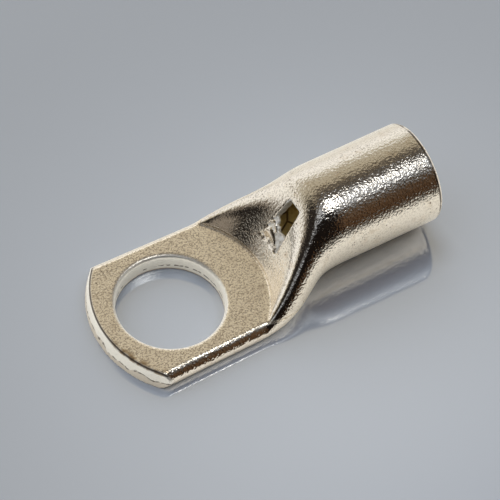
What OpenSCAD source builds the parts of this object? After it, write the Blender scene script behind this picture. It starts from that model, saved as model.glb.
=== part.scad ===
// Tube cable lug: a round barrel for the conductor, folded flat into a palm with a stud hole.
// The origin is the stud hole's centre on the palm's underside. +X runs towards the barrel's
// mouth and +Z out of the palm's coined face.

/* [Barrel] */
// Outer diameter of the tube
barrel_d = 10.2; // [9.6:0.1:11.4]
// Wall thickness of the tube
tube_wall = 1; // [0.7:0.05:1.2]
// Distance from the stud hole's centre to the barrel's mouth
mouth_x = 27.4; // [22:0.2:40]
// Radius on the outer rim of the mouth
mouth_round = 0.5; // [0.1:0.05:0.6]
// Chamfer on the inner rim of the mouth
mouth_chamfer = 0.25; // [0.1:0.05:0.35]

/* [Palm] */
// Width of the palm at its sheared end
palm_w_tip = 15.2; // [14:0.1:17]
// Width of the palm where the fold starts
palm_w_root = 14.7; // [13:0.1:16]
// Thickness between the coined face and the underside
palm_t = 2; // [1.6:0.1:2.6]
// Distance from the stud hole's centre to the farthest point of the sheared end
tip_reach = 7.7; // [7:0.1:10]
// Radius of the sheared end, seen from above
tip_r = 11; // [9:0.2:16]
// How far the sheared end leans back over the palm's thickness
tip_lean = 0.3; // [0:0.05:0.6]
// Radius of the rolled upper edge of the sheared end
tip_round = 0.35; // [0.1:0.05:0.6]
// Sharpness of the turn from the coined face into the long sides
side_blend = 0.6; // [0.3:0.1:1]

/* [Stud hole] */
// Diameter of the stud hole
stud_d = 10.5; // [8.4:0.1:10.7]
// Radius of the rolled upper rim of the stud hole
stud_round = 0.45; // [0.1:0.05:0.6]

/* [Fold] */
// Distance from the stud hole's centre to where the sides start to draw in
fold_start = 6.5; // [5.5:0.1:8]
// Length over which the flat palm turns into the round barrel
fold_length = 8.3; // [7.4:0.1:10]
// Height of the tube's back above its widest line where the fold starts, before it is punched
fold_rise = 3.3; // [2.6:0.1:4]
// Share of the fold's length over which it eases into the barrel
fold_ease = 0.25; // [0.1:0.05:0.4]

/* [Punch] */
// Radius of the coined face, about the stud hole's centre
coin_r = 9.6; // [9:0.1:10]
// Height of the arc step at the edge of the coined face
coin_depth = 0.2; // [0.1:0.05:0.4]
// Slope of the punch's flank, in degrees
punch_angle = 58.5; // [54:0.5:62]
// Height over which the ridges between the punch's flank and the tube are rounded
ridge_blend = 2.2; // [0.6:0.1:2.6]

/* [Inspection slit] */
// Distance of the slit's palm end up the scoop, from the foot of the flank
slit_from = 2.2; // [1.6:0.1:2.8]
// Length of the slit up the scoop
slit_length = 5.1; // [3.5:0.1:5.5]
// Width of the slit at its palm end
slit_w_palm = 3; // [1.5:0.1:3.2]
// Width of the slit at its barrel end
slit_w_barrel = 1.7; // [1:0.1:2]
// Length of the torn tongue that closes the slit's palm end
tongue_length = 1.7; // [1:0.1:2.4]

/* [Quality] */
// Steps along the fold
fold_steps = 24; // [16:1:32]
// Steps across the folded tube, from side to side
wrap_steps = 44; // [24:4:56]

/* [Hidden] */
$fn = 96;

barrel_r = barrel_d / 2;
bore_r = barrel_r - tube_wall;
axis_z = barrel_r;                  // the barrel's underside is level with the palm's
side_height = palm_t / 2;           // the palm's sides are folded round its middle
slope = tan(punch_angle);
blank_t = palm_t + coin_depth;      // pressed thickness before the palm is coined
tip_x = tip_r - tip_reach;          // centre of the sheared end's arc
tip_corner_x = tip_x - sqrt(tip_r * tip_r - palm_w_tip * palm_w_tip / 4);

// The flank's foot lies just inside the coined face, so that coining leaves a clean arc
foot_r = coin_r - coin_depth / slope / 2;
inner_foot_r = foot_r + tube_wall * tan(punch_angle / 2);
// Past these distances the tube is round, outside and inside
eased_x = fold_start + fold_length * (1 + fold_ease);
round_x = max(eased_x, foot_r + (axis_z + barrel_r + ridge_blend - blank_t) / slope);
inner_round_x = max(eased_x,
    inner_foot_r + (axis_z + bore_r + ridge_blend - blank_t + tube_wall) / slope);
void_from = inner_foot_r + 0.3;     // the two walls lie on each other short of this
slack = 0.1;                        // least gap between the walls where the hollow ends
bow_from = stud_d / 4;              // rings are straight as far as this

// How early or late each size of the fold changes from palm to barrel: 1 is evenly
narrow_pace = 1.4;
rise_pace = 2;
back_pace = 0.85;
keel_pace = 1.5;
blend_pace = 0.5;
flat_back = 1.6;                    // power of the back's curve over the palm, 2 being round
side_share = 0.7;                   // share of the lower points that go round the palm's sides
bow_power = 1.2;                    // how the bow of a ring fades towards its sides
palm_steps = 6;                     // rings between the stud hole and the foot of the flank

seat = 0.05;                        // overlap where the true cylinders take over from the fold
sunk = 0.01;                        // the fold ends this far under the cylinder's surface
past = 1;                           // how far a cutter runs past what it cuts
copper = "#c9c0a8";

function mix(a, b, t) = a + (b - a) * t;
function ease(t) = t * t * (3 - 2 * t);
function unit(t) = min(1, max(0, t));
// The smaller of two heights, rounded over the band where they are closer than k
function soft_min(a, b, k) = min(a, b) - pow(max(k - abs(a - b), 0), 2) / (4 * k);

// How far the fold has turned from palm (0) to barrel (1) at x
function turn(x) = max(0, soft_min((x - fold_start) / fold_length, 1, fold_ease));
function palm_half(x) =
    mix(palm_w_tip, palm_w_root, unit((x - tip_corner_x) / (fold_start - tip_corner_x))) / 2;
// Half width, and height of the widest line, of the folded tube at x
function half_width(x) = mix(palm_half(x), barrel_r, ease(pow(turn(x), narrow_pace)));
function waist(x) = mix(side_height, axis_z, pow(turn(x), rise_pace));
// Height of the tube's back above the widest line, before the punch reaches it
function back(x) =
    mix(side_height + fold_rise, axis_z + barrel_r, pow(turn(x), back_pace)) - waist(x);
function back_power(x) = mix(flat_back, 2, turn(x));
// Width of the lower curve, from the widest line to where the underside is flat
function keel(x) = mix(side_height, barrel_r, pow(turn(x), keel_pace));

// Height of the punch above the point (x, y), for a wall surface w inside the outer one
function punch(x, y, w) =
    let (foot = foot_r + w * tan(punch_angle / 2))
    blank_t - w + slope * max(0, norm([x, y]) - foot);

// The palm end of each ring is bowed to run along the foot of the punch. How far the ring at
// station d is bowed, and the x of its point whose half width is the share c of the tube's
function bow(d) =
    unit((d - bow_from) / (foot_r - bow_from)) * unit((round_x - d) / (round_x - foot_r));
function bowed(d, c, w, tries = 4) =
    tries == 0 ? d :
    let (y = min(foot_r, c * (half_width(bowed(d, c, w, tries - 1)) - w)))
    d - bow(d) * (foot_r - sqrt(foot_r * foot_r - y * y));

// The underside's curve: the share of the half width, and the turn towards the flat, at u
function under_turn(x, u) = 90 * mix(min(1, u / side_share), u, turn(x));
function under_share(x, u) =
    let (flat = 1 - keel(x) / half_width(x),
         run = mix(min(1, (1 - u) / (1 - side_share)), 1 - u, turn(x)))
    flat * run + (1 - flat) * cos(under_turn(x, u));
// Height of the widest line of a wall surface w inside the outer one
function low_waist(x, w) = max(waist(x), w + slack);

// Upper and lower points of the ring at station d, for u from 0 at the side to 1 in the middle,
// on the side that s gives, for a wall surface w inside the outer one
function upper(d, u, w, s) =
    let (x = bowed(d, pow(cos(90 * u), bow_power), w),
         p = 2 / back_power(x),
         y = s * (half_width(x) - w) * pow(cos(90 * u), p),
         z = low_waist(x, w) + (back(x) - w) * pow(sin(90 * u), p),
         k = mix(side_blend, ridge_blend, pow(turn(x), blend_pace)))
    [x, y, soft_min(z, punch(x, y, w), k)];
function lower(d, u, w, s) =
    let (x = bowed(d, under_share(d, u), w), h = low_waist(x, w))
    [x, s * under_share(x, u) * (half_width(x) - w), h - (h - w) * sin(under_turn(x, u))];

// One closed ring: over the top from the +Y side to the -Y side, and back along the underside
function ring(d, w) =
    let (half = wrap_steps / 2)
    [for (i = [0 : wrap_steps])
        i <= half ? upper(d, i / half, w, 1) : upper(d, 2 - i / half, w, -1),
     for (i = [wrap_steps - 1 : -1 : 1])
        i <= half ? lower(d, i / half, w, 1) : lower(d, 2 - i / half, w, -1)];

// A ring shrunk by d towards the barrel's axis, to sink the fold's end into the true cylinder
function shrunk(points, d) =
    [for (p = points) let (c = [p[1], p[2] - axis_z], q = c * (1 - d / norm(c)))
        [p[0], q[0], q[1] + axis_z]];

// Skins a stack of rings and closes its two ends with strips from top to underside
module skin(rings) {
    n = 2 * wrap_steps;
    m = len(rings);
    under = function (i) i == 0 ? 0 : i == wrap_steps ? wrap_steps : n - i;
    sides = [for (j = [0 : m - 2], i = [0 : n - 1])
        let (a = j * n + i, b = j * n + (i + 1) % n)
        each [[a, b + n, b], [a, a + n, b + n]]];
    cap = [for (i = [0 : wrap_steps - 1])
        let (a = i, b = i + 1, c = under(i + 1), d = under(i))
        each concat(a == d ? [] : [[a, c, d]], b == c ? [] : [[a, b, c]])];
    far_cap = [for (f = cap) [f[0], f[2], f[1]] + [1, 1, 1] * (m - 1) * n];
    polyhedron(points = [for (r = rings) each r], faces = concat(sides, cap, far_cap));
}

// The tube as the press folds it: palm blank, drawn-in sides, scoop and ridges
module folded_tube() {
    palm = [-tip_reach - past, tip_corner_x, for (i = [0 : palm_steps - 1])
        mix(bow_from, foot_r, i / palm_steps)];
    fold = [for (i = [0 : fold_steps]) mix(foot_r, round_x, i / fold_steps)];
    skin([for (x = concat(palm, fold)) shrunk(ring(x, 0), x < round_x ? 0 : sunk),
          shrunk(ring(round_x + past, 0), tube_wall / 2)]);
}

// The hollow inside the fold, one wall inside it, open into the bore
module fold_hollow() {
    steps = round(fold_steps / 2);
    fold = [for (i = [0 : steps]) mix(void_from, inner_round_x, i / steps)];
    skin([for (x = fold) shrunk(ring(x, tube_wall), x < inner_round_x ? 0 : sunk),
          shrunk(ring(inner_round_x + past, tube_wall), tube_wall / 2)]);
}

// A profile of [radius, distance] points turned about the barrel's axis
module turned_on_axis(profile) {
    translate([0, 0, axis_z]) rotate([0, 90, 0]) rotate_extrude() polygon(profile);
}

module barrel() {
    start = round_x - seat;
    rim = [for (a = [0 : 15 : 90])
        [barrel_r - mouth_round * (1 - cos(a)), mouth_x - mouth_round * (1 - sin(a))]];
    turned_on_axis(concat([[0, start], [barrel_r, start]], rim, [[0, mouth_x]]));
}

module bore() {
    start = inner_round_x - seat;
    lip = bore_r + mouth_chamfer + past;
    translate([start, 0, axis_z]) rotate([0, 90, 0])
        cylinder(r = bore_r, h = mouth_x - start + past);
    turned_on_axis([[0, mouth_x - mouth_chamfer], [bore_r, mouth_x - mouth_chamfer],
                    [lip, mouth_x + past], [0, mouth_x + past]]);
}

// The stud hole, with its upper rim rolled over
module stud_hole() {
    roll = [for (a = [0 : 15 : 90])
        [stud_d / 2 + stud_round * (1 - cos(a)), palm_t - stud_round * (1 - sin(a))]];
    top = blank_t + past;
    rotate_extrude() polygon(concat([[0, -past], [stud_d / 2, -past]], roll,
        [[stud_d / 2 + stud_round, top], [0, top]]));
}

// What the shear takes off: all that lies outside the palm's curved, leaning end
module sheared_off() {
    lean = tip_lean / palm_t;
    roll = [for (a = [0 : 15 : 90])
        [tip_r - tip_lean - tip_round * (1 - cos(a)), palm_t - tip_round * (1 - sin(a))]];
    top_r = tip_r - tip_lean - tip_round;
    difference() {
        translate([-2 * tip_r, -tip_r, -past]) cube([2 * tip_r, 2 * tip_r, blank_t + 2 * past]);
        translate([tip_x, 0, 0]) rotate_extrude() polygon(concat(
            [[0, -2 * past], [tip_r + lean * 2 * past, -2 * past]], roll,
            [[top_r, blank_t + 2 * past], [0, blank_t + 2 * past]]));
    }
}

// Puts its children on the scoop's slope: X runs up the slope, Z points out of the wall
module on_scoop() {
    translate([foot_r, 0, blank_t]) rotate([0, -punch_angle, 0]) children();
}

module inspection_slit() {
    to = slit_from + slit_length;
    on_scoop() translate([0, 0, -2 * tube_wall]) linear_extrude(4 * tube_wall)
        polygon([[slit_from, -slit_w_palm / 2], [to, -slit_w_barrel / 2],
                 [to, slit_w_barrel / 2], [slit_from, slit_w_palm / 2]]);
}

// Metal that tore and was squeezed back into the slit's palm end, thick and uneven
module torn_tongue() {
    r = tube_wall * 0.45;
    span = slit_w_palm / 2;
    sink = 0.5;
    lumps = [[-0.1, -0.9, -0.2], [-0.1, 0.9, -0.2], [0.45, 1, 0], [0.95, 0.5, 0.1],
             [0.7, -0.1, 0.05], [1, -0.5, -0.3], [0.7, -0.9, -0.3]];
    on_scoop() hull() for (p = lumps)
        translate([slit_from + p[0] * (tongue_length - r), p[1] * span, (p[2] - sink) * r * 2])
            sphere(r = r, $fn = 20);
}

module lug() {
    color(copper) union() {
        difference() {
            union() {
                folded_tube();
                barrel();
            }
            translate([0, 0, palm_t]) cylinder(r = coin_r, h = barrel_d);
            sheared_off();
            stud_hole();
            fold_hollow();
            bore();
            inspection_slit();
        }
        torn_tongue();
    }
}

lug();
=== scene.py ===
import math

import bpy
import numpy as np
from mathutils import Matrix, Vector, noise


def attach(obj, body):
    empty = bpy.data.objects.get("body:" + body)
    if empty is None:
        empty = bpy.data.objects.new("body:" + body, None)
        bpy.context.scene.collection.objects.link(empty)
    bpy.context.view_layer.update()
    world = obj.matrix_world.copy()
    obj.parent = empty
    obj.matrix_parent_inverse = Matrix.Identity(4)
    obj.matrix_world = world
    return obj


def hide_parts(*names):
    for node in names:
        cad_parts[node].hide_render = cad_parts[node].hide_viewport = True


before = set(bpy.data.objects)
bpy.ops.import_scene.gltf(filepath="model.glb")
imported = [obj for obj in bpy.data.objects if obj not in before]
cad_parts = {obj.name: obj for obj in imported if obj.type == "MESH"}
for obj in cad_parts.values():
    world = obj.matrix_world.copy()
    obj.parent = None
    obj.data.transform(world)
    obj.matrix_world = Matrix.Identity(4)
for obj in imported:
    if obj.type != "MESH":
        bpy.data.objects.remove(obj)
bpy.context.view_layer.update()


# ---------------------------------------------------------------------------------------------
# The lug: one length of round copper tube. A press folds one end flat into the palm, a conical
# punch scoops the step down from the barrel, and the stud hole and inspection slit are struck
# through. It is tin plated last, so every edge carries a thin rounded skin.
MM = 0.001                  # the lug's sizes are in millimetres
BARREL_R = 5.1
MOUTH_X = 27.4              # the barrel's open end
STUD_R = 5.25
PALM_TOP = 2.0              # height of the coined face
BLANK_TOP = 2.2             # height of the flattened tube before it is coined
PALM_HALF = 7.35            # half the palm's width where the fold starts
FOLD_START = 6.5
FOLD_LENGTH = 8.3
FOOT_R = 9.54               # foot of the scoop's flank, about the stud hole
FLANK = math.radians(58.5)  # its slope
TIP_X = 3.3                 # centre of the sheared end's arc
SLIT_FROM = 2.2             # the slit's palm end, up the scoop's slope
SLIT_TO = 7.3               # and its barrel end
SLIT_HALF = 1.5             # half its width at the palm end
SLIT_TAPER = 0.127          # by how much that narrows for each millimetre up the slope
SKIN_STEP = 0.1             # finest detail that the plated skin keeps
TRIANGLES = 190000


def pick(obj):
    bpy.ops.object.select_all(action="DESELECT")
    obj.select_set(True)
    bpy.context.view_layer.objects.active = obj


def apply_modifiers(obj):
    pick(obj)
    for modifier in list(obj.modifiers):
        bpy.ops.object.modifier_apply(modifier=modifier.name)


def read_points(obj):
    points = np.empty(len(obj.data.vertices) * 3)
    obj.data.vertices.foreach_get("co", points)
    return points.reshape(-1, 3) / MM


def write_points(obj, points):
    obj.data.vertices.foreach_set("co", (points * MM).ravel())
    obj.data.update()


def read_normals(obj):
    normals = np.empty(len(obj.data.vertices) * 3)
    obj.data.vertices.foreach_get("normal", normals)
    return normals.reshape(-1, 3)


def on_flank(points):
    """Distance up the scoop's middle slope and height above it."""
    x, z = points[:, 0] - FOOT_R, points[:, 2] - BLANK_TOP
    return (x * math.cos(FLANK) + z * math.sin(FLANK),
            z * math.cos(FLANK) - x * math.sin(FLANK))


def from_flank(up, across, height):
    """Place of a point that is up the scoop's slope, across it and above it."""
    return Vector((FOOT_R + up * math.cos(FLANK) - height * math.sin(FLANK), across,
                   BLANK_TOP + up * math.sin(FLANK) + height * math.cos(FLANK))) * MM


def rumple(obj, size, depth, seed):
    """Pushes the points of a lump in and out, as torn metal is."""
    points = read_points(obj)
    for i, n in enumerate(read_normals(obj)):
        points[i] += n * depth * noise.noise(Vector(points[i] / size) + Vector((seed, 0, 0)))
    write_points(obj, points)


# The pressed tube itself, its loose triangles merged
bpy.ops.object.select_all(action="DESELECT")
lug = bpy.data.objects.new("tinned_lug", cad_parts["lug"].data.copy())
bpy.context.scene.collection.objects.link(lug)
pick(lug)
bpy.ops.object.mode_set(mode="EDIT")
bpy.ops.mesh.select_all(action="SELECT")
bpy.ops.mesh.remove_doubles(threshold=0.002 * MM)
bpy.ops.object.mode_set(mode="OBJECT")

# Metal torn up by the slit's punch and squeezed back into its palm end: a slab flush with the
# scoop, fused to the far wall, with lumps along its ragged edge (up, across, height, radius)
bpy.ops.object.select_all(action="DESELECT")
bpy.ops.mesh.primitive_cube_add(size=1)
slab = bpy.context.active_object
bpy.ops.object.mode_set(mode="EDIT")
bpy.ops.mesh.subdivide(number_cuts=23)
bpy.ops.object.mode_set(mode="OBJECT")
grid = read_points(slab) * MM + 0.5     # along, side and top of the slab, each from 0 to 1
for i, (along, side, top) in enumerate(grid):
    reach = 1.25 + 1.15 * side + 0.35 * noise.noise(Vector((side * 9, top * 1.5, 4)))
    up = SLIT_FROM - 0.2 + along * reach
    near_edge = -1.22 + 0.17 * (up - SLIT_FROM) + 0.12 * noise.noise(Vector((up * 3, top, 9)))
    across = near_edge + side * (SLIT_HALF + 0.15 - near_edge)
    height = -0.95 + top * (0.93 - 0.16 * along ** 3) + 0.07 * top * noise.noise(
        Vector((up * 2.2, across * 2.2, 0)))
    grid[i] = np.array(from_flank(up, across, height)) / MM
write_points(slab, grid)
lug.select_set(True)
bpy.context.view_layer.objects.active = lug
bpy.ops.object.join()

RAGGED = [
    (4.35, 1.0, -0.22, 0.26), (4.55, 0.75, -0.34, 0.26), (4.25, 0.55, -0.14, 0.22),
    (4.15, 0.25, -0.28, 0.28), (3.85, 0.0, -0.18, 0.22), (3.8, -0.25, -0.38, 0.28),
    (3.5, -0.5, -0.30, 0.20), (4.75, 1.05, -0.40, 0.18), (3.2, -0.65, -0.55, 0.22),
]
for i, (up, across, height, radius) in enumerate(RAGGED):
    bpy.ops.object.select_all(action="DESELECT")
    bpy.ops.mesh.primitive_ico_sphere_add(
        subdivisions=4, radius=radius * MM, location=from_flank(up, across, height))
    lump = bpy.context.active_object
    bpy.ops.object.transform_apply(location=True, rotation=True, scale=True)
    rumple(lump, 0.35, 0.14, 7.3 * i)
    lug.select_set(True)
    bpy.context.view_layer.objects.active = lug
    bpy.ops.object.join()

# One skin over all of it
skin = lug.modifiers.new("plated skin", "REMESH")
skin.mode = "VOXEL"
skin.voxel_size = SKIN_STEP * MM
skin.use_smooth_shade = True
apply_modifiers(lug)

# The remesh leaves small steps: the fold is eased most, the slit and the arc step least
points = read_points(lug)
up, height = on_flank(points)
radial = np.hypot(points[:, 0], points[:, 1])
near_slit = (np.abs(points[:, 1]) < 2.1) & (up > 1.7) & (up < 7.8)
near_step = (np.abs(radial - 9.57) < 0.25) & (points[:, 2] < 2.5) & (points[:, 2] > 1.8)
fold = (points[:, 0] > 6.0) & (points[:, 0] < 19) & ~near_slit & ~near_step
group = lug.vertex_groups.new(name="fold")
group.add([int(i) for i in np.flatnonzero(fold)], 1.0, "REPLACE")
ease = lug.modifiers.new("ease the fold", "SMOOTH")
ease.vertex_group = "fold"
ease.factor = 0.5
ease.iterations = 14
finish = lug.modifiers.new("soften all", "SMOOTH")
finish.factor = 0.5
finish.iterations = 3
apply_modifiers(lug)
lug.vertex_groups.clear()

thin = lug.modifiers.new("thin", "DECIMATE")
thin.ratio = TRIANGLES / (2 * len(lug.data.polygons))
apply_modifiers(lug)
bpy.ops.object.shade_smooth()


def new_material(name):
    material = bpy.data.materials.new(name)
    material.use_nodes = True
    nodes = material.node_tree.nodes
    return material, nodes, material.node_tree.links, nodes["Principled BSDF"]


def node(nodes, kind, **values):
    """Adds a shader node and sets its plain values by input name."""
    made = nodes.new(kind)
    for name, value in values.items():
        made.inputs[name.replace("_", " ")].default_value = value
    return made


def math_node(nodes, links, operation, first, second=None, third=None):
    made = nodes.new("ShaderNodeMath")
    made.operation = operation
    for i, value in enumerate((first, second, third)):
        if isinstance(value, bpy.types.NodeSocket):
            links.new(value, made.inputs[i])
        elif value is not None:
            made.inputs[i].default_value = value
    return made.outputs["Value"]


def span(nodes, links, value, low, high, start=0.0, end=1.0):
    """Turns a value from low to high into start to end, held at both ends."""
    made = nodes.new("ShaderNodeMapRange")
    made.interpolation_type = "SMOOTHSTEP"
    links.new(value, made.inputs["Value"])
    for name, number in (("From Min", low), ("From Max", high), ("To Min", start), ("To Max", end)):
        made.inputs[name].default_value = number
    return made.outputs["Result"]


def blend(nodes, links, factor, first, second):
    """Mixes two colours, each a plain one or a socket, by a factor from 0 to 1."""
    made = nodes.new("ShaderNodeMix")
    made.data_type = "RGBA"
    links.new(factor, made.inputs["Factor"])
    for name, colour in (("A", first), ("B", second)):
        if isinstance(colour, bpy.types.NodeSocket):
            links.new(colour, made.inputs[name])
        else:
            made.inputs[name].default_value = (*colour, 1)
    return made.outputs["Result"]


def plating_group():
    """Grain, pits and worn places of the tin plate, by place on the lug."""
    group = bpy.data.node_groups.new("tin plating", "ShaderNodeTree")
    group.interface.new_socket("Place", in_out="INPUT", socket_type="NodeSocketVector")
    group.interface.new_socket("Swarm", in_out="INPUT", socket_type="NodeSocketFloat")
    for name in ("Grain", "Pits", "Specks", "Palm", "Soil"):
        group.interface.new_socket(name, in_out="OUTPUT", socket_type="NodeSocketFloat")
    nodes, links = group.nodes, group.links
    given = nodes.new("NodeGroupInput")
    place, crowded = given.outputs["Place"], given.outputs["Swarm"]
    out = nodes.new("NodeGroupOutput")
    parts = nodes.new("ShaderNodeSeparateXYZ")
    links.new(place, parts.inputs["Vector"])
    x, y, z = parts.outputs["X"], parts.outputs["Y"], parts.outputs["Z"]

    def calc(operation, first, second=None, third=None):
        return math_node(nodes, links, operation, first, second, third)

    def pattern(kind, **values):
        made = node(nodes, kind, **values)
        links.new(place, made.inputs["Vector"])
        return made

    # Coined face: top of the palm inside the arc step
    palm = calc("MULTIPLY", span(nodes, links, z, 0.00225, 0.00205),
                span(nodes, links, z, 0.00185, 0.00197))
    links.new(palm, out.inputs["Palm"])

    # The scoop's cone, wiped smooth by the punch
    out_from = calc("SQRT", calc("ADD", calc("POWER", x, 2.0), calc("POWER", y, 2.0)))
    off_cone = calc("SUBTRACT", out_from, calc(
        "MULTIPLY_ADD", z, 1 / math.tan(FLANK), (FOOT_R - BLANK_TOP / math.tan(FLANK)) * MM))
    wiped = span(nodes, links, calc("ABSOLUTE", off_cone), 0.9 * MM, 0.5 * MM)

    # Satin grain: a fine noise, with short strokes round the barrel towards its mouth
    fine = pattern("ShaderNodeTexNoise", Scale=4600, Detail=1.0, Roughness=0.5)
    soft = pattern("ShaderNodeTexNoise", Scale=1900, Detail=1.0, Roughness=0.5)
    strokes = node(nodes, "ShaderNodeTexNoise", Scale=1.0, Detail=2.0, Roughness=0.6)
    stretch = pattern("ShaderNodeMapping", Scale=(8500, 1600, 1600))
    links.new(stretch.outputs["Vector"], strokes.inputs["Vector"])
    at_mouth = span(nodes, links, x, 0.017, 0.0255)
    grain = calc("MULTIPLY_ADD", soft.outputs["Fac"], 0.3, fine.outputs["Fac"])
    grain = calc("MULTIPLY_ADD", strokes.outputs["Fac"], calc("MULTIPLY", at_mouth, 0.9), grain)
    grain = calc("MULTIPLY", grain, span(nodes, links, wiped, 0.0, 1.0, 1.0, 0.42))
    links.new(grain, out.inputs["Grain"])

    # Pits: small pinholes of uneven depth, in loose swarms
    cells = node(nodes, "ShaderNodeTexVoronoi", Scale=4400, Randomness=1.0)
    bent = pattern("ShaderNodeTexNoise", Scale=5200, Detail=1.0)
    shift = nodes.new("ShaderNodeVectorMath")
    shift.operation = "MULTIPLY_ADD"
    links.new(bent.outputs["Color"], shift.inputs[0])
    shift.inputs[1].default_value = (0.00012, 0.00012, 0.00012)
    links.new(place, shift.inputs[2])
    links.new(shift.outputs["Vector"], cells.inputs["Vector"])
    draw = nodes.new("ShaderNodeSeparateColor")
    links.new(cells.outputs["Color"], draw.inputs["Color"])
    swarm = pattern("ShaderNodeTexNoise", Scale=450, Detail=2.0)
    chance = calc("MULTIPLY_ADD", crowded, 0.45, draw.outputs["Red"])
    chance = calc("MULTIPLY_ADD", palm, -0.25, chance)
    size = calc("MULTIPLY", span(nodes, links, chance, 0.45, 1.0),
                span(nodes, links, swarm.outputs["Fac"], 0.35, 0.65, 0.35, 1.0))
    pits = node(nodes, "ShaderNodeMapRange", From_Min=0.0, To_Min=1.0, To_Max=0.0)
    pits.interpolation_type = "SMOOTHSTEP"
    links.new(cells.outputs["Distance"], pits.inputs["Value"])
    links.new(calc("MULTIPLY", size, 0.58), pits.inputs["From Max"])
    links.new(calc("MULTIPLY", pits.outputs["Result"], size), out.inputs["Pits"])

    # Speckle: the fine dark grain that shows even where the room's reflection is even
    specks = pattern("ShaderNodeTexNoise", Scale=5600, Detail=1.0, Roughness=0.5)
    links.new(span(nodes, links, specks.outputs["Fac"], 0.46, 0.64), out.inputs["Specks"])

    # Soil: faint brown mottling
    soil = pattern("ShaderNodeTexNoise", Scale=900, Detail=3.0, Roughness=0.6)
    links.new(span(nodes, links, soil.outputs["Fac"], 0.52, 0.75), out.inputs["Soil"])
    return group


def marks_group():
    """Press and shear marks: the layers' parting line and the hole's seam, with painted edge shade.
    """
    group = bpy.data.node_groups.new("press marks", "ShaderNodeTree")
    group.interface.new_socket("Place", in_out="INPUT", socket_type="NodeSocketVector")
    for name in ("Line", "Brown Marks and Painted Roll Shade", "Swarm", "Sheared"):
        group.interface.new_socket(name, in_out="OUTPUT", socket_type="NodeSocketFloat")
    nodes, links = group.nodes, group.links
    place = nodes.new("NodeGroupInput").outputs["Place"]
    out = nodes.new("NodeGroupOutput")
    parts = nodes.new("ShaderNodeSeparateXYZ")
    links.new(place, parts.inputs["Vector"])
    x, y, z = parts.outputs["X"], parts.outputs["Y"], parts.outputs["Z"]

    def calc(operation, first, second=None, third=None):
        return math_node(nodes, links, operation, first, second, third)

    def mask(value, low, high):
        return span(nodes, links, value, low * MM, high * MM)

    def reach(centre):
        """Distance from a point of the plan, in the plan."""
        return calc("SQRT", calc("ADD", calc("POWER", calc("SUBTRACT", x, centre[0] * MM), 2.0),
                                 calc("POWER", calc("SUBTRACT", y, centre[1] * MM), 2.0)))

    def ripple(scale, detail=2.0):
        made = node(nodes, "ShaderNodeTexNoise", Scale=scale, Detail=detail)
        links.new(place, made.inputs["Vector"])
        return made.outputs["Fac"]

    from_tip, from_stud = reach((TIP_X, 0)), reach((0, 0))
    at_tip = calc("MULTIPLY", mask(from_tip, 10.35, 10.5), mask(x, -3.5, -4.5))
    in_hole = calc("MULTIPLY", mask(from_stud, STUD_R + 0.37, STUD_R + 0.25),
                   mask(z, PALM_TOP, PALM_TOP - 0.15))
    wander = calc("MULTIPLY_ADD", ripple(620, 3.0), 1.5 * MM, -0.75 * MM)
    links.new(calc("MAXIMUM", at_tip, in_hole), out.inputs["Sheared"])

    # Parting line round the sheared end, ragged, with the lower layer browner
    above = calc("SUBTRACT", calc("ADD", z, wander), 0.72 * MM)
    parting = calc("MULTIPLY", at_tip, mask(calc("ABSOLUTE", above), 0.12, 0.04))
    parting = calc("MULTIPLY", parting, span(nodes, links, ripple(1500), 0.40, 0.55))
    lower = calc("MULTIPLY", at_tip, mask(above, 0.05, -0.05))

    # Seam of the layers on the hole's wall, dotted, and a browner band at its foot
    seam = calc("ABSOLUTE", calc("SUBTRACT", calc("MULTIPLY_ADD", wander, 0.2, z), 0.62 * MM))
    dots = span(nodes, links, ripple(2600, 0.0), 0.50, 0.58)
    seam = calc("MULTIPLY", in_hole, calc("MULTIPLY", mask(seam, 0.11, 0.04), dots))
    foot = calc("MULTIPLY", in_hole, mask(z, 0.22, 0.08))

    # Painted shade: a dark line along the sheared end's top edge and a brown band where the coined
    # face rolls over into it, standing in for that rounding's dark reflections
    off_edge = calc("ABSOLUTE", calc("SUBTRACT", from_tip, 10.52 * MM))
    edge = calc("MULTIPLY", mask(off_edge, 0.11, 0.04), mask(z, 1.6, 1.75))
    edge = calc("MULTIPLY", edge, mask(x, -3.0, -4.0))
    painted_roll_shade = calc("MULTIPLY", mask(from_tip, 9.75, 10.35), mask(z, 1.7, 1.85))
    painted_roll_shade = calc("MULTIPLY", painted_roll_shade, calc("MULTIPLY", mask(x, -3.0, -4.5), mask(y, -0.5, -2.5)))
    painted_roll_shade = calc("MULTIPLY", painted_roll_shade, span(nodes, links, ripple(1300), 0.35, 0.6))

    # Painted shade: a dark line just inside the mouth's rim, where its rounding starts
    off_rim = calc("ABSOLUTE", calc("SUBTRACT", x, (MOUTH_X - 0.38) * MM))
    rim = calc("MULTIPLY", mask(off_rim, 0.15, 0.07), span(nodes, links, ripple(900), 0.25, 0.5))

    # The dark lines are the real parting line and seam with the painted shade at the sheared end's
    # top edge and the mouth's rim; the brown holds the lower layer and the hole's foot with the
    # painted shade on the rolled-over face
    links.new(calc("MAXIMUM", calc("MAXIMUM", parting, seam), calc("MAXIMUM", edge, rim)),
              out.inputs["Line"])
    links.new(calc("MAXIMUM", calc("MAXIMUM", calc("MULTIPLY", lower, 0.45), foot), painted_roll_shade),
              out.inputs["Brown Marks and Painted Roll Shade"])

    # Places crowded with pinholes: beside the hole, and the fold's far shoulder
    crowd = calc("MULTIPLY", mask(reach((-3.8, 5.0)), 3.0, 1.0), mask(z, 1.7, 1.9))
    crowd = calc("MULTIPLY", crowd, 1.5)
    shoulder = calc("MULTIPLY", mask(x, 8.5, 10.5), mask(x, 19.0, 14.5))
    shoulder = calc("MULTIPLY", shoulder, mask(y, -2.5, 1.5))
    links.new(calc("MAXIMUM", crowd, shoulder), out.inputs["Swarm"])
    return group


PLATING = plating_group()
MARKS = marks_group()


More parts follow.
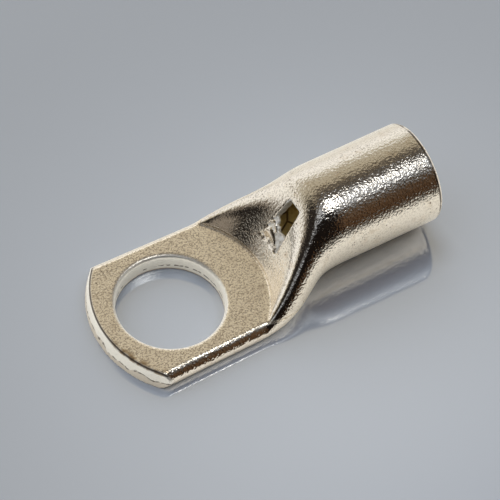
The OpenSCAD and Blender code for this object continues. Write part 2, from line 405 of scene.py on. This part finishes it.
def roughen(nodes, links, shader, relief):
    """Puts a relief of a few hundredths of a millimetre on a surface."""
    bump = node(nodes, "ShaderNodeBump", Strength=1.0, Distance=0.04 * MM)
    links.new(relief, bump.inputs["Height"])
    links.new(bump.outputs["Normal"], shader.inputs["Normal"])


def tin_plate():
    """Satin tin over copper: warm silver, yellower and rougher where the palm is coined."""
    material, nodes, links, shader = new_material("tin_plate")
    place = nodes.new("ShaderNodeTexCoord").outputs["Object"]
    plating = nodes.new("ShaderNodeGroup")
    plating.node_tree = PLATING
    marks = nodes.new("ShaderNodeGroup")
    marks.node_tree = MARKS
    for group in (plating, marks):
        links.new(place, group.inputs["Place"])
    links.new(marks.outputs["Swarm"], plating.inputs["Swarm"])
    palm, pits = plating.outputs["Palm"], plating.outputs["Pits"]
    sheared = marks.outputs["Sheared"]

    def calc(operation, first, second=None, third=None):
        return math_node(nodes, links, operation, first, second, third)

    colour = (0.86, 0.80, 0.71)
    for tint, mask, strength in (
            ((0.99, 0.885, 0.72), palm, 1.0),
            ((0.66, 0.55, 0.42), plating.outputs["Soil"], 0.5),
            ((0.40, 0.33, 0.25), plating.outputs["Specks"], calc("MULTIPLY_ADD", palm, 0.35, 0.30)),
            ((0.16, 0.11, 0.07), pits, 1.0),
            ((0.97, 0.95, 0.89), sheared, 0.8),
            # The last two tints carry real marks and also painted shade at the sheared end's edge,
            # its rolled-over face and the mouth's rim
            ((0.34, 0.22, 0.10), marks.outputs["Brown Marks and Painted Roll Shade"], 0.85),
            ((0.06, 0.04, 0.03), marks.outputs["Line"], 0.9)):
        colour = blend(nodes, links, calc("MULTIPLY", mask, strength), colour, tint)
    links.new(colour, shader.inputs["Base Color"])

    rough = calc("MULTIPLY_ADD", palm, 0.12, 0.11)
    rough = calc("MULTIPLY_ADD", pits, 0.3, rough)
    rough = calc("MULTIPLY_ADD", sheared, 0.2, rough)
    links.new(rough, shader.inputs["Roughness"])
    matt = calc("MAXIMUM", sheared, calc("MULTIPLY", palm, 0.55))
    links.new(calc("MULTIPLY_ADD", matt, -0.28, 1.0), shader.inputs["Metallic"])
    roughen(nodes, links, shader, calc(
        "SUBTRACT", plating.outputs["Grain"], calc("MULTIPLY", pits, 0.35)))
    return material


def torn_metal():
    """Sheared and torn faces in the slit: pale, dull and unpolished."""
    material, nodes, links, shader = new_material("torn_metal")
    shader.inputs["Metallic"].default_value = 0.45
    shader.inputs["Roughness"].default_value = 0.38
    place = nodes.new("ShaderNodeTexCoord").outputs["Object"]
    grit = node(nodes, "ShaderNodeTexNoise", Scale=2600, Detail=3.0, Roughness=0.6)
    links.new(place, grit.inputs["Vector"])
    grain = grit.outputs["Fac"]
    links.new(blend(nodes, links, span(nodes, links, grain, 0.35, 0.6),
                    (0.62, 0.58, 0.50), (0.90, 0.88, 0.84)), shader.inputs["Base Color"])
    roughen(nodes, links, shader, grain)
    return material


def dull_inside():
    """The tube's inside, where the plating bath hardly reached, creased where it is folded."""
    material, nodes, links, shader = new_material("dull_inside")
    shader.inputs["Metallic"].default_value = 0.6
    shader.inputs["Roughness"].default_value = 0.5
    place = nodes.new("ShaderNodeTexCoord").outputs["Object"]
    blotch = node(nodes, "ShaderNodeTexNoise", Scale=700, Detail=4.0, Roughness=0.6)
    links.new(place, blotch.inputs["Vector"])
    metal = blend(nodes, links, span(nodes, links, blotch.outputs["Fac"], 0.35, 0.65),
                  (0.86, 0.74, 0.40), (0.50, 0.38, 0.16))
    creases = node(nodes, "ShaderNodeTexVoronoi", Scale=520)
    creases.feature = "DISTANCE_TO_EDGE"
    links.new(place, creases.inputs["Vector"])
    parts = nodes.new("ShaderNodeSeparateXYZ")
    links.new(place, parts.inputs["Vector"])
    folded = span(nodes, links, parts.outputs["X"], 0.0165, 0.0145)
    lined = math_node(nodes, links, "MULTIPLY", folded,
                      span(nodes, links, creases.outputs["Distance"], 0.07, 0.02))
    links.new(blend(nodes, links, lined, metal, (0.10, 0.06, 0.03)), shader.inputs["Base Color"])
    roughen(nodes, links, shader, blotch.outputs["Fac"])
    return material


lug.data.materials.clear()
for finish in (tin_plate(), dull_inside(), torn_metal()):
    lug.data.materials.append(finish)
PLATED, INSIDE, TORN = range(3)

# The dull inside is every face that looks into the hollow, and the torn metal is the slit's
centres = np.empty(len(lug.data.polygons) * 3)
lug.data.polygons.foreach_get("center", centres)
x, y, z = centres.reshape(-1, 3).T / MM
up, height = on_flank(centres.reshape(-1, 3) / MM)
turned = np.clip((x - FOLD_START) / FOLD_LENGTH, 0, 1)
half = PALM_HALF + (BARREL_R - PALM_HALF) * turned
inside = ((x > 9.5) & (x < MOUTH_X - 0.4) & (z > 0.6) & (height < -0.95)
          & (np.abs(y) < half - 0.6) & (np.hypot(y, z - BARREL_R) < BARREL_R - 0.5))
width = SLIT_HALF - SLIT_TAPER * (up - SLIT_FROM)
torn = ((up > SLIT_FROM + 0.05) & (up < SLIT_TO + 0.15) & (height > -1.0) & (height < -0.05)
        & (np.abs(y) < width + 0.12) & ~inside)
kinds = np.where(inside, INSIDE, np.where(torn, TORN, PLATED)).astype(np.int32)
lug.data.polygons.foreach_set("material_index", kinds)
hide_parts("lug")
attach(lug, "root")


# ---------------------------------------------------------------------------------------------
# The table it lies on: a glossy pale blue-grey board, wide enough to run out of sight. The
# barrel's underside touches it along one line, and the contact shade gathers there, deepened
# by shade painted into the board's colour; its light falloff is painted into that colour too.
def table_top():
    material, nodes, links, shader = new_material("table_top")
    shader.inputs["Roughness"].default_value = 0.08
    shader.inputs["IOR"].default_value = 4.2
    place = nodes.new("ShaderNodeTexCoord").outputs["Object"]
    parts = nodes.new("ShaderNodeSeparateXYZ")
    links.new(place, parts.inputs["Vector"])
    x, y = parts.outputs["X"], parts.outputs["Y"]
    glossy = nodes.new("ShaderNodeLightPath").outputs["Is Glossy Ray"]

    def area(*edges):
        """Part of the board inside soft edges: for each, its axis, start and full place."""
        made = 1.0
        for axis, low, high in edges:
            made = math_node(nodes, links, "MULTIPLY", span(nodes, links, axis, low, high), made)
        return made

    # Painted light: what the lug's metal sees of the board is a brighter, lit copy of its colour,
    # with painted light that darkens it in front and past the palm's end
    painted_light_pool = math_node(nodes, links, "MULTIPLY", span(nodes, links, y, -0.070, -0.022, 0.08, 1.0),
                     span(nodes, links, x, -0.065, -0.018, 0.25, 1.0))
    painted_lit_board = blend(nodes, links, painted_light_pool, (0.0, 0.0, 0.0), (0.90, 0.88, 0.82))

    # The board's colour as the camera sees it, with painted light falloff that darkens it away
    # from its middle, and painted shade in a patch beneath the barrel
    painted_falloff = nodes.new("ShaderNodeVectorMath")
    painted_falloff.operation = "DISTANCE"
    painted_falloff.inputs[1].default_value = (0.012, -0.014, 0)
    links.new(place, painted_falloff.inputs[0])
    board = blend(nodes, links, span(nodes, links, painted_falloff.outputs["Value"], 0.0, 0.05),
                  (0.48, 0.55, 0.67), (0.28, 0.34, 0.44))
    # Painted shade: a dark patch on the board beneath and in front of the barrel
    painted_contact_shade = area((y, -0.0090, -0.0050), (y, 0.003, 0.001), (x, 0.008, 0.014), (x, 0.029, 0.026))
    board_with_painted_shade = blend(nodes, links, math_node(nodes, links, "MULTIPLY", painted_contact_shade, 0.6),
                   board, (0.16, 0.17, 0.19))
    links.new(blend(nodes, links, glossy, board_with_painted_shade, painted_lit_board), shader.inputs["Base Color"])
    links.new(math_node(nodes, links, "MULTIPLY_ADD", glossy, -0.5, 0.5),
              shader.inputs["Specular IOR Level"])
    return material


bpy.ops.object.select_all(action="DESELECT")
bpy.ops.mesh.primitive_plane_add(size=3.0, location=(0, 0, 0))
table = bpy.context.active_object
table.name = "table"
table.data.materials.append(table_top())


# ---------------------------------------------------------------------------------------------
# The studio: one small soft lamp in front of and above the barrel, and round it a room of light
# and dark bands. The metal sees the bands, and the table is lit by a plain soft light.
lamp = bpy.data.lights.new("strip", "AREA")
lamp.shape = "RECTANGLE"
lamp.size, lamp.size_y = 0.045, 0.032
lamp.energy = 0.0185
lamp.color = (0.95, 0.98, 1.0)
strip = bpy.data.objects.new("strip", lamp)
bpy.context.scene.collection.objects.link(strip)
strip.location = (0.032, -0.0437, 0.119)
aim = Vector((0.032, 0, 0.005))
strip.rotation_euler = (aim - strip.location).to_track_quat("-Z", "Y").to_euler()

# Colours of the room by the angle about the barrel's line, 0 straight up and 90 to the front
ROOM = [
    (-180, (0.5, 0.5, 0.5)), (-90, (0.97, 0.97, 0.97)), (-61, (1.0, 1.0, 0.97)),
    (-54, (0.56, 0.53, 0.45)), (-46, (0.47, 0.43, 0.34)), (-26, (0.46, 0.41, 0.31)),
    (-18, (0.15, 0.125, 0.095)), (-1, (0.06, 0.052, 0.044)), (8, (0.15, 0.15, 0.15)),
    (14, (0.45, 0.47, 0.50)), (27, (0.50, 0.54, 0.61)), (38, (0.25, 0.26, 0.28)),
    (47, (0.10, 0.085, 0.07)), (60, (0.115, 0.070, 0.040)), (88, (0.060, 0.030, 0.014)),
    (92, (0.6, 0.6, 0.55)), (180, (0.5, 0.5, 0.5)),
]
world = bpy.data.worlds.new("room")
bpy.context.scene.world = world
world.use_nodes = True
nodes, links = world.node_tree.nodes, world.node_tree.links
place = nodes.new("ShaderNodeTexCoord").outputs["Generated"]
parts = nodes.new("ShaderNodeSeparateXYZ")
links.new(place, parts.inputs["Vector"])
x, y, z = (parts.outputs[axis] for axis in "XYZ")
angle = math_node(nodes, links, "ARCTAN2", math_node(nodes, links, "MULTIPLY", y, -1.0), z)
ramp = nodes.new("ShaderNodeValToRGB")
stops = ramp.color_ramp.elements
stops[0].position, stops[1].position = 0, 1
stops[0].color, stops[1].color = (*ROOM[0][1], 1), (*ROOM[-1][1], 1)
for degrees, colour in ROOM[1:-1]:
    stop = stops.new((degrees + 180) / 360)
    stop.color = (*colour, 1)
links.new(math_node(nodes, links, "MULTIPLY_ADD", angle, 0.5 / math.pi, 0.5), ramp.inputs["Fac"])

# A dark doorway beyond the palm's end, low down, darkest at its top and in its depth
deep = nodes.new("ShaderNodeVectorMath")
deep.operation = "DOT_PRODUCT"
deep.inputs[1].default_value = (-0.985, 0.12, 0.12)
links.new(place, deep.inputs[0])
dark = math_node(nodes, links, "MAXIMUM", span(nodes, links, z, 0.28, 0.48),
                 span(nodes, links, deep.outputs["Value"], 0.970, 0.992))
doorway = math_node(nodes, links, "MULTIPLY", span(nodes, links, x, -0.50, -0.78),
                    span(nodes, links, y, 0.50, 0.34))
room = blend(nodes, links, doorway, ramp.outputs["Color"], blend(
    nodes, links, dark, (0.25, 0.22, 0.185), (0.015, 0.012, 0.010)))

# A black curtain in front, past the barrel's root
curtain = math_node(nodes, links, "MULTIPLY", span(nodes, links, x, 0.34, 0.10),
                    span(nodes, links, y, -0.35, -0.60))
room = blend(nodes, links, curtain, room, (0.008, 0.006, 0.005))

# The soft light, mostly from behind the lug, and the plain backdrop that the camera sees
backlight = math_node(nodes, links, "MULTIPLY", 2.35, math_node(
    nodes, links, "POWER", math_node(nodes, links, "MULTIPLY_ADD", y, 0.5, 0.5), 1.5))
ray = nodes.new("ShaderNodeLightPath")
seen = blend(nodes, links, ray.outputs["Is Glossy Ray"], backlight, room)
seen = blend(nodes, links, ray.outputs["Is Camera Ray"], seen, (0.62, 0.65, 0.70))
links.new(seen, nodes["Background"].inputs["Color"])


# ---------------------------------------------------------------------------------------------
# The camera: a long lens 0.3 m from the lug, looking down over the palm's end. The lug is small,
# so the lens stands close in true size and still shows little perspective.
view = bpy.data.cameras.new("camera")
view.sensor_width = 36
view.lens = 225.4
view.clip_start = 0.01
view.clip_end = 10
camera = bpy.data.objects.new("camera", view)
bpy.context.scene.collection.objects.link(camera)
camera.location = (-0.09106, -0.14430, 0.24556)
camera.rotation_euler = [math.radians(a) for a in (35.955, -2.688, -30.960)]
bpy.context.scene.camera = camera
bpy.context.scene.view_settings.view_transform = "Standard"
